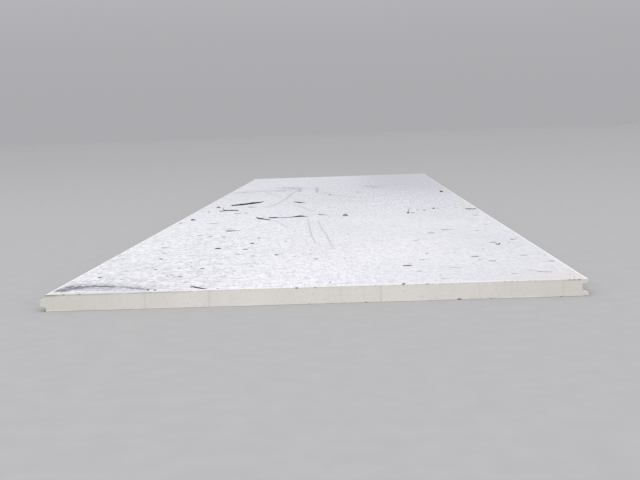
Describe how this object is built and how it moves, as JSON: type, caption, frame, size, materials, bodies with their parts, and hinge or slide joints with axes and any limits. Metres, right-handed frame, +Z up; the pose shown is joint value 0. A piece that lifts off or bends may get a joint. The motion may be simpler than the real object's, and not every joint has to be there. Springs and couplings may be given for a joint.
{
  "type": "fibre cement flooring sheet",
  "caption": "Flat fibre cement flooring sheet, square sawn at the ends, with a tapered tongue along one long edge and a matching groove along the other.",
  "frame": {"origin": "middle of the underside, under the centre of the sheet's whole box, tongue included", "axes": "+X across the sheet from the tongue to the groove, +Y along its length, +Z up through its thickness"},
  "size_m": [0.6064, 2.7, 0.019],
  "materials": {
    "fibre_cement": "matt, finely mottled, with a sanded top face and sawn ends"
  },
  "bodies": {
    "root": {"fibre_cement_sheet": "fibre_cement"}
  },
  "joints": []
}
